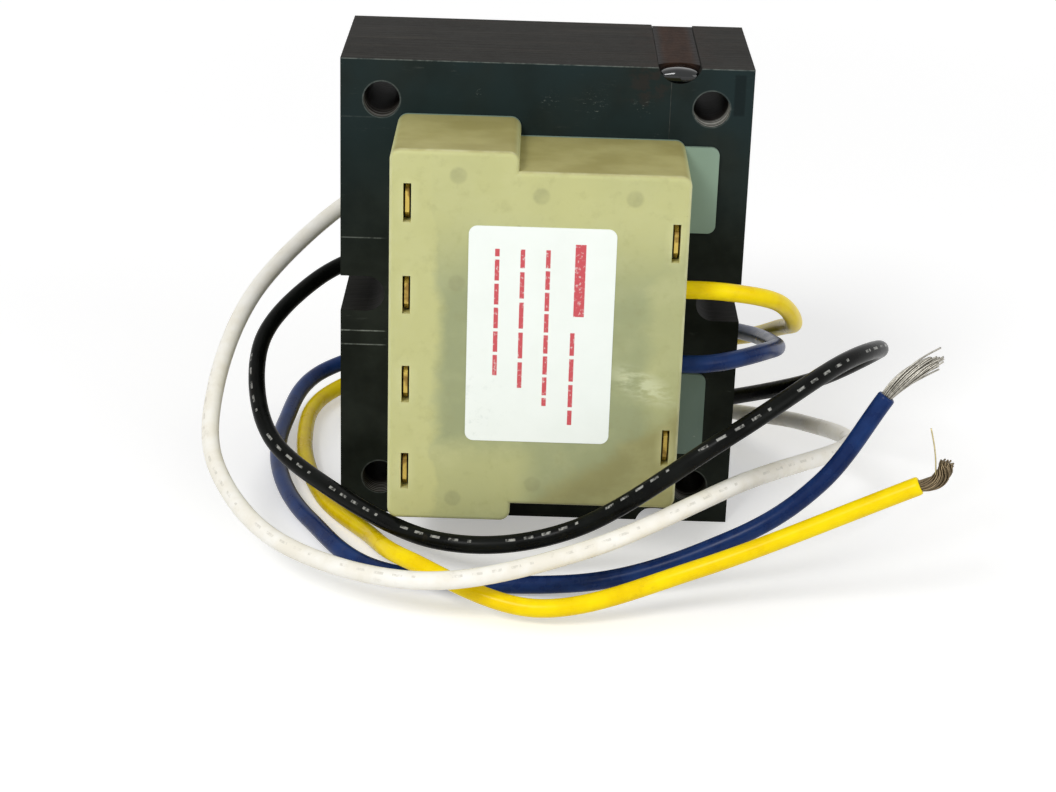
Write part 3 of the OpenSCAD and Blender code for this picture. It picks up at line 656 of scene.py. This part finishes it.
def surface(name, grid, finish):
    """One mesh from grids of points, shape (pieces, rows, columns, 3): each piece is a row of closed rings,
    joined ring to ring, with a flat cap on its first and last ring. The UV map runs round the ring and along
    the piece."""
    pieces, rows, columns, _ = grid.shape
    number = np.arange(pieces * rows * columns).reshape(pieces, rows, columns)
    here, after = number, np.roll(number, -1, axis=2)
    walls = np.stack([here[:, :-1], after[:, :-1], after[:, 1:], here[:, 1:]], -1).reshape(-1, 4)
    faces = walls.tolist() + number[:, 0, ::-1].tolist() + number[:, -1].tolist()
    mesh = bpy.data.meshes.new(name)
    mesh.from_pydata(grid.reshape(-1, 3).tolist(), [], faces)
    step = np.linalg.norm(np.diff(grid.mean(axis=2), axis=1), axis=2)
    along = np.concatenate([np.zeros((pieces, 1)), np.cumsum(step, axis=1)], axis=1)
    round_ring = np.arange(columns + 1) / columns
    u = np.broadcast_to(round_ring, (pieces, rows, columns + 1))
    v = np.broadcast_to(along[:, :, None], (pieces, rows, columns + 1))
    uv = np.stack([u, v], -1)
    corners = np.stack([uv[:, :-1, :-1], uv[:, :-1, 1:], uv[:, 1:, 1:], uv[:, 1:, :-1]], -2).reshape(-1, 2)
    layer = mesh.uv_layers.new(name="around_and_along")
    ends = np.zeros((len(layer.data) - len(corners), 2))
    layer.data.foreach_set("uv", np.concatenate([corners, ends]).ravel())
    mesh.polygons.foreach_set("use_smooth", [True] * len(faces))
    mesh.materials.append(finish.material)
    piece = bpy.data.objects.new(name, mesh)
    bpy.context.scene.collection.objects.link(piece)
    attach(piece, ROOT)
    return piece


def axes_along(path):
    """Unit tangent, level side and rise at each point of a path, for any number of paths at once."""
    tangent = np.gradient(path, axis=-2)
    tangent /= np.linalg.norm(tangent, axis=-1, keepdims=True)
    side = np.cross(tangent, UPRIGHT)
    side /= np.linalg.norm(side, axis=-1, keepdims=True)
    return tangent, side, np.cross(side, tangent)


def spokes(columns, side, rise):
    """Unit directions from the middle of a ring to its points: the cosine of the turn along side and its sine
    along rise."""
    turn = np.linspace(0, 2 * np.pi, columns, endpoint=False)[:, None]
    return np.cos(turn) * side[..., None, :] + np.sin(turn) * rise[..., None, :]


def rings_along(path, radius, columns):
    """Rings of the radius given round each point of a path, square to it. radius may differ from point to
    point, and the paths and radii may carry a leading axis of pieces."""
    _, side, rise = axes_along(path)
    return path[..., None, :] + np.asarray(radius)[..., None, None] * spokes(columns, side, rise)


def smooth_route(points, gap):
    """Points about gap apart along a curve through the route: between two route points it is the cubic whose
    slope at each of them is half the step from the point before to the point after."""
    p = np.array(points, float) * MM
    p = np.vstack([2 * p[0] - p[1], p, 2 * p[-1] - p[-2]])
    a, b, c, d = p[:-3, None], p[1:-2, None], p[2:-1, None], p[3:, None]
    t = np.linspace(0, 1, CURVE_STEPS, endpoint=False)[None, :, None]
    curve = (2 * b + (c - a) * t + (2 * a - 5 * b + 4 * c - d) * t**2 + (3 * b - 3 * c + d - a) * t**3) / 2
    curve = np.vstack([curve.reshape(-1, 3), p[-2]])
    along = np.concatenate([[0], np.cumsum(np.linalg.norm(np.diff(curve, axis=0), axis=1))])
    places = np.linspace(0, along[-1], int(along[-1] / gap) + 1)
    return np.stack([np.interp(places, along, curve[:, i]) for i in range(3)], axis=1), along[-1]


# ---------------------------------------------------------------- leads
LEAD_RADIUS = 1.4 * MM
LEAD_COLUMNS = 24
LEAD_STEP = 0.6 * MM
# middle line of each lead, in millimetres, from its joint inside the cover to its far end
ROUTES = {
    "yellow": [
        [8, -25.2, 44.2], [18, -25.2, 44.2], [28, -25, 44], [37, -19, 40.5], [41.5, -6, 32.5],
        [41.5, 13, 24.5], [34, 35, 14], [8, 46, 9], [-20, 44, 5], [-38, 30, 2.5], [-40, 9, 2],
        [-35, -12, 1.6], [-26.5, -27, 2.2], [-19, -44, 6], [1, -53, 3], [25, -50, 9], [56, -53, 25],
    ],
    "blue": [
        [8, -25.2, 32], [18, -25.2, 32], [27, -24.6, 32], [36, -16, 31], [39.5, 2, 25.5], [34, 26, 19],
        [12, 42, 15], [-18, 44, 9], [-39, 34, 5.5], [-44, 16, 3], [-43, -3, 2], [-36, -22, 1.7],
        [-22, -40, 1.7], [8, -43, 2.5], [30, -42, 10], [43, -42, 20], [52, -41, 34],
    ],
    "black": [
        [-8, 25.2, 32], [-18, 25.2, 32], [-28, 25, 32], [-39, 20, 28], [-47, 8, 21], [-45, -7, 12],
        [-35, -19, 7.5], [-15, -38, 6.5], [6, -40, 10], [28, -43, 27], [46, -29, 34], [55, -11, 30],
        [47, 3, 19], [35, 19, 9], [25, 27, 4],
    ],
    "white": [
        [-8, 25.2, 44.2], [-18, 25.2, 44.2], [-28, 25, 44], [-38, 18, 39], [-48, 2, 31], [-52, -14, 21],
        [-50, -28, 13], [-38, -44, 8], [-16, -55, 8], [8, -49, 11], [32, -36, 17], [51, -13, 14],
        [46, 8, 9], [36, 24, 4], [25, 33, 2],
    ],
}
# rings of a cut end: how far back from the end in millimetres, and share of the lead's radius
CUT_END = np.array([(0.50, 1.0), (0.26, 0.975), (0.10, 0.91), (0.01, 0.80), (0.03, 0.68), (0.45, 0.62),
                    (0.45, 0.05)])
# row of dashes along a lead: its place round the lead, half its width and its softness, as shares of a turn
PRINT_ROW = (0.10, 0.024, 0.012)
# pitch of the dashes; middle, half length and softness of one. The same for a group of them.
DASH_PITCH, DASH = 2.9 * MM, (1.3 * MM, 0.75 * MM, 0.12 * MM)
GROUP_PITCH, GROUP = 17.4 * MM, (6.5 * MM, 6.2 * MM, 0.1 * MM)


def printed_dashes(f):
    """Faint row of plain dashes along one side of a lead, in groups, read from the lead's own UV map."""
    uv = f.add("ShaderNodeSeparateXYZ", Vector=f.add("ShaderNodeTexCoord")["UV"])
    dash = f.near(f.math("MODULO", uv["Y"], DASH_PITCH), *DASH)
    group = f.near(f.math("MODULO", uv["Y"], GROUP_PITCH), *GROUP)
    faint = f.between(f.noise(0.6 * MM, detail=6.0), 0.36, 0.60, 0.05, 0.62)
    return f.times(f.both(f.near(uv["X"], *PRINT_ROW), dash, group), faint)


def insulation(name, dark, light, print_colour=None, gloss=0.13):
    """Smooth glossy insulation with faint cloudiness, slight unevenness along it, a little dirt and, where a
    print colour is given, a row of plain dashes."""
    f = Finish(name, Specular_IOR_Level=gloss)
    cloud = f.noise(5 * MM, detail=4.0)
    colour = f.blend(f.between(cloud, 0.3, 0.7), dark, light)
    dirt = f.both(f.between(f.noise(2.2 * MM, detail=6.0, rough=0.7), 0.56, 0.74),
                  f.between(f.noise(9 * MM), 0.45, 0.6))
    colour = f.blend(f.times(dirt, 0.16), colour, tone(96, 84, 60))
    if print_colour:
        colour = f.blend(printed_dashes(f), colour, print_colour)
    f.colour(colour)
    f.roughness(f.between(cloud, 0.3, 0.7, 0.24, 0.36))
    f.relief(f.noise(1.8 * MM, detail=3.0), 0.05 * MM, 0.5)
    return f


def lead_piece(colour_name, finish):
    """A lead: rings along its route, then rings that round over the far end's edge and go down into a shallow
    well in its cut face, out of which the strands come."""
    path, length = smooth_route(ROUTES[colour_name], LEAD_STEP)
    _, side, rise = axes_along(path)
    ahead = (path[-1] - path[-2]) / np.linalg.norm(path[-1] - path[-2])
    body = rings_along(path[:-2], np.full(len(path) - 2, LEAD_RADIUS), LEAD_COLUMNS)
    back, share = CUT_END[:, 0] * MM, CUT_END[:, 1] * LEAD_RADIUS
    middles = path[-1] - back[:, None] * ahead
    cut = middles[:, None] + share[:, None, None] * spokes(LEAD_COLUMNS, side[-1], rise[-1])
    grid = np.concatenate([body, cut])
    piece = surface(f"{colour_name}_insulation", grid[None], finish)
    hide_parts(f"{colour_name}_lead")
    return piece, path, length


# ---------------------------------------------------------------- bared strands
STRAND_RADIUS = 0.14 * MM
STRAND_COUNT = 34
STRAND_ROWS = 18
STRAND_COLUMNS = 6
# turn from one strand's place in the section to the next one's, in radians, which spreads them evenly
GOLDEN_TURN = 2.39996
# per lead: middle line of its bared bundle, in millimetres; the section's half width at the cut and at the
# tips, its half thickness there, and its bulge; the turn of the lay; the drift of loose strands; the share
# cut off at most
BARED_ENDS = {
    "yellow": ([(55.5, -53.0, 24.85), (57.5, -52.8, 24.9), (59.5, -52.3, 25.2), (59.8, -52.0, 28.6)],
               (0.70, 0.95, 0.70, 1.10, 0.25), 2.2, 0.05, 0.07),
    "blue": ([(51.6, -41.0, 33.4), (53.4, -40.9, 36.4), (56.8, -40.4, 38.8), (60.4, -40.0, 40.0)],
             (0.75, 0.95, 0.75, 1.05, 0.40), 1.5, 0.80, 0.20),
    "black": ([(25.9, 26.5, 4.1), (23.5, 28.5, 3.4), (20.5, 29.0, 2.6), (18.4, 29.0, 2.1)],
              (0.55, 0.60, 0.55, 0.60, 0.05), 2.6, 0.12, 0.10),
    "white": ([(25.9, 32.7, 2.2), (23.5, 33.5, 2.0), (20.5, 34.0, 2.0), (18.4, 34.0, 2.0)],
              (0.55, 0.60, 0.55, 0.60, 0.05), 2.6, 0.12, 0.10),
}
# foot, tip and bow of the strand sprung out of the yellow bundle, in millimetres
SPRUNG_STRAND = [[58.2, -52.5, 25.6], [56.9, -52.0, 33.6], [0.30, 0.0, 0.0]]
SPRUNG_ROWS = 20
SPRUNG_RADIUS = 0.11 * MM
bright_strand = plain_metal("tinned_strand", tone(92, 88, 76), tone(206, 202, 192), 0.5 * MM)
dull_strand = plain_metal("dull_strand", tone(84, 72, 52), tone(140, 124, 98), 0.5 * MM)
pale_strand = plain_metal("pale_strand", tone(166, 150, 96), tone(218, 206, 160), 0.8 * MM)


def strand_grid(corner_points, section, lay, tips, loose):
    """Strands of a stripped end. The middle line is the cubic whose four corner points are given. Each strand
    keeps its own place in an oval section, which turns by lay from the cut to the tip, widens with the square
    of the way along and bulges by half a wave between; loose adds a drift of the strand's own with the cube
    of the way, and tips cuts it short by a share."""
    count = len(tips)
    t = np.linspace(0, 1, STRAND_ROWS)[None, :, None] * (1 - tips[:, None, None])
    a, b, c, d = np.array(corner_points) * MM
    line = a * (1 - t) ** 3 + 3 * b * t * (1 - t) ** 2 + 3 * c * t**2 * (1 - t) + d * t**3
    ring = np.sqrt((np.arange(count) + 0.5) / count)[:, None, None]
    turned = (np.arange(count) * GOLDEN_TURN)[:, None, None] + lay * t
    _, side, rise = axes_along(line)
    wide_start, wide_end, thick_start, thick_end, bulge = np.array(section) * MM
    swell = bulge * np.sin(np.pi * t)
    across = ring * np.cos(turned) * (wide_start + (wide_end - wide_start) * t**2 + swell)
    over = ring * np.sin(turned) * (thick_start + (thick_end - thick_start) * t**2 + swell)
    path = line + across * side + over * rise + loose[:, None, :] * t**3
    return rings_along(path, np.full((count, STRAND_ROWS), STRAND_RADIUS), STRAND_COLUMNS)


def bared_bundle(colour_name):
    """The tinned strands that come out of a lead's far end. Their drift along X is always backwards."""
    corner_points, section, lay, drift, short = BARED_ENDS[colour_name]
    rng = np.random.default_rng(len(colour_name))
    tips = rng.uniform(0.0, short, STRAND_COUNT)
    loose = rng.normal(0, drift * MM / 2, (STRAND_COUNT, 3))
    loose[:, 0] = -np.abs(loose[:, 0])
    grid = strand_grid(corner_points, section, lay, tips, loose)
    finish = bright_strand if colour_name == "blue" else dull_strand
    piece = surface(f"{colour_name}_bared_strands", grid, finish)
    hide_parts(f"{colour_name}_strands")
    return piece


def loose_strand():
    """One strand sprung out of the yellow lead's bundle: a straight rise with half a wave of bow to one
    side."""
    t = np.linspace(0, 1, SPRUNG_ROWS)[:, None]
    foot, tip, bow = np.array(SPRUNG_STRAND) * MM
    path = foot + (tip - foot) * t + bow * np.sin(np.pi * t)
    grid = rings_along(path, np.full(SPRUNG_ROWS, SPRUNG_RADIUS), STRAND_COLUMNS)
    return surface("yellow_loose_strand", grid[None], pale_strand)


def make_leads():
    """Each lead with its bared strands, and the point where it leaves through the cover's side wall."""
    finishes = {
        "yellow": insulation("yellow_insulation", tone(240, 204, 0), tone(252, 224, 0)),
        "blue": insulation("blue_insulation", tone(12, 34, 80), tone(24, 52, 104)),
        "black": insulation("black_insulation", tone(7, 8, 7), tone(17, 19, 17), tone(200, 200, 194), 0.07),
        "white": insulation("white_insulation", tone(240, 235, 221), tone(250, 248, 241),
                            tone(206, 202, 190)),
    }
    for colour_name in LEAD_COLOURS:
        piece, path, length = lead_piece(colour_name, finishes[colour_name])
        on_it = [bared_bundle(colour_name)]
        if colour_name == "yellow":
            on_it.append(loose_strand())
        leaves = np.array(ROUTES[colour_name][1]) * MM
        leaves[0] = math.copysign(cover_high.x, leaves[0])


make_leads()


# ---------------------------------------------------------------- varnish drop
DROP_ROWS, DROP_COLUMNS = 14, 40
DROP_HALF_WIDTH = 3.25 * MM
DROP_HALF_HEIGHT = 1.15 * MM
# how far the drop's outer rim lies behind the core's face, how far its middle stands out from there, and its
# depth into the groove
DROP_RIM = 0.9 * MM
DROP_CROWN = 1.25 * MM
DROP_DEPTH = 3.2 * MM
# share of the crown that is rounded off at the edge, under the root
DROP_ROUNDING = 0.96
DROP_TOP = stack_top - 0.25 * MM


def varnish_drop(name):
    """Drop of varnish that fills the crater at the front of the upper weld. Its outline is an oval. It stands
    out by the crown times the root of one minus the rounding times the square of the way from its middle to
    its edge, and it goes straight back into the groove."""
    reach = np.linspace(0, 1, DROP_ROWS)[:, None]
    turn = np.linspace(0, 2 * np.pi, DROP_COLUMNS, endpoint=False)[None, :]
    x = groove_x + DROP_HALF_WIDTH * reach * np.cos(turn)
    z = DROP_TOP - DROP_HALF_HEIGHT * (1 - reach * np.sin(turn))
    y = front_face + DROP_RIM - DROP_CROWN * np.sqrt(1 - DROP_ROUNDING * reach**2)
    front = np.stack([x, np.broadcast_to(y, x.shape), z], -1)[::-1]
    back = front[:1] + np.array([0, DROP_DEPTH, 0])
    grid = np.concatenate([back, front])
    f = Finish(name, Roughness=0.05, Specular_IOR_Level=0.5)
    f.colour(f.blend(f.noise(1.5 * MM), tone(3, 5, 6), tone(12, 17, 18)))
    f.relief(f.noise(2.2 * MM, detail=0.0), 0.45 * MM, 0.8)
    return surface(name, grid[None], f)


varnish_drop("upper_varnish_drop")


# ---------------------------------------------------------------- studio
# strength of the world's light on the object
WORLD_FILL = 0.50
FLOOR_SIDE = 3.0
FLOOR_COLOUR = (0.86, 0.86, 0.86, 1)
WHITE = (1, 1, 1, 1)
# distance from the object over which the floor's own glow rises, and the glow near and far
FLOOR_GLOW = {"From Min": 0.12, "From Max": 0.9, "To Min": 0.34, "To Max": 0.62}
# place, side length and power of each lamp
LAMPS = {
    "key": ((-0.42, -0.75, 0.75), 0.34, 5.7),
    "fill": ((0.65, -0.50, 0.35), 0.50, 1.6),
}


def seen_directly(tree):
    """1 for what the camera sees straight, in a reflection or through glass, and 0 for light on the
    object."""
    rays = tree.nodes.new("ShaderNodeLightPath").outputs
    seen = rays["Is Camera Ray"]
    for kind in ("Is Glossy Ray", "Is Transmission Ray"):
        total = tree.nodes.new("ShaderNodeMath")
        total.operation = "ADD"
        total.use_clamp = True
        tree.links.new(seen, total.inputs[0])
        tree.links.new(rays[kind], total.inputs[1])
        seen = total.outputs[0]
    return seen


def set_world():
    """White where it is seen, and a plain grey fill where it lights."""
    world = bpy.data.worlds.new("studio")
    world.use_nodes = True
    tree = world.node_tree
    background = tree.nodes["Background"]
    background.inputs["Color"].default_value = WHITE
    strength = tree.nodes.new("ShaderNodeMapRange")
    tree.links.new(seen_directly(tree), strength.inputs["Value"])
    strength.inputs["To Min"].default_value = WORLD_FILL
    strength.inputs["To Max"].default_value = 1.0
    tree.links.new(strength.outputs["Result"], background.inputs["Strength"])
    bpy.context.scene.world = world


def floor_finish():
    """Pale floor that keeps the object's shadow. It is seen whiter the farther it lies from the object."""
    material = bpy.data.materials.new("floor")
    material.use_nodes = True
    tree = material.node_tree
    shader = tree.nodes["Principled BSDF"]
    shader.inputs["Base Color"].default_value = FLOOR_COLOUR
    shader.inputs["Roughness"].default_value = 0.9
    shader.inputs["Specular IOR Level"].default_value = 0.1
    shader.inputs["Emission Color"].default_value = WHITE
    reach = tree.nodes.new("ShaderNodeVectorMath")
    reach.operation = "LENGTH"
    tree.links.new(tree.nodes.new("ShaderNodeTexCoord").outputs["Object"], reach.inputs[0])
    white = tree.nodes.new("ShaderNodeMapRange")
    white.interpolation_type = "SMOOTHSTEP"
    tree.links.new(reach.outputs["Value"], white.inputs["Value"])
    for socket, value in FLOOR_GLOW.items():
        white.inputs[socket].default_value = value
    glow = tree.nodes.new("ShaderNodeMath")
    glow.operation = "MULTIPLY"
    tree.links.new(seen_directly(tree), glow.inputs[0])
    tree.links.new(white.outputs["Result"], glow.inputs[1])
    tree.links.new(glow.outputs[0], shader.inputs["Emission Strength"])
    return material


def lay_floor():
    """One square under the object."""
    far = FLOOR_SIDE / 2
    mesh = bpy.data.meshes.new("floor")
    mesh.from_pydata([(-far, -far, 0), (far, -far, 0), (far, far, 0), (-far, far, 0)], [], [(0, 1, 2, 3)])
    mesh.materials.append(floor_finish())
    floor = bpy.data.objects.new("floor", mesh)
    bpy.context.scene.collection.objects.link(floor)


def soft_lamp(name, place, size, power):
    """Square lamp at place that shines on the middle of the object."""
    lamp = bpy.data.lights.new(name, "AREA")
    lamp.shape = "SQUARE"
    lamp.size = size
    lamp.energy = power
    back = np.array(place) - np.array([0, 0, middle_z])
    back /= np.linalg.norm(back)
    across = np.cross([0, 0, 1], back)
    across /= np.linalg.norm(across)
    stand(bpy.data.objects.new(name, lamp), across, np.cross(back, across), back, place)


set_world()
lay_floor()
for lamp_name, (place, size, power) in LAMPS.items():
    soft_lamp(lamp_name, place, size, power)
bpy.context.scene.view_settings.view_transform = "Standard"
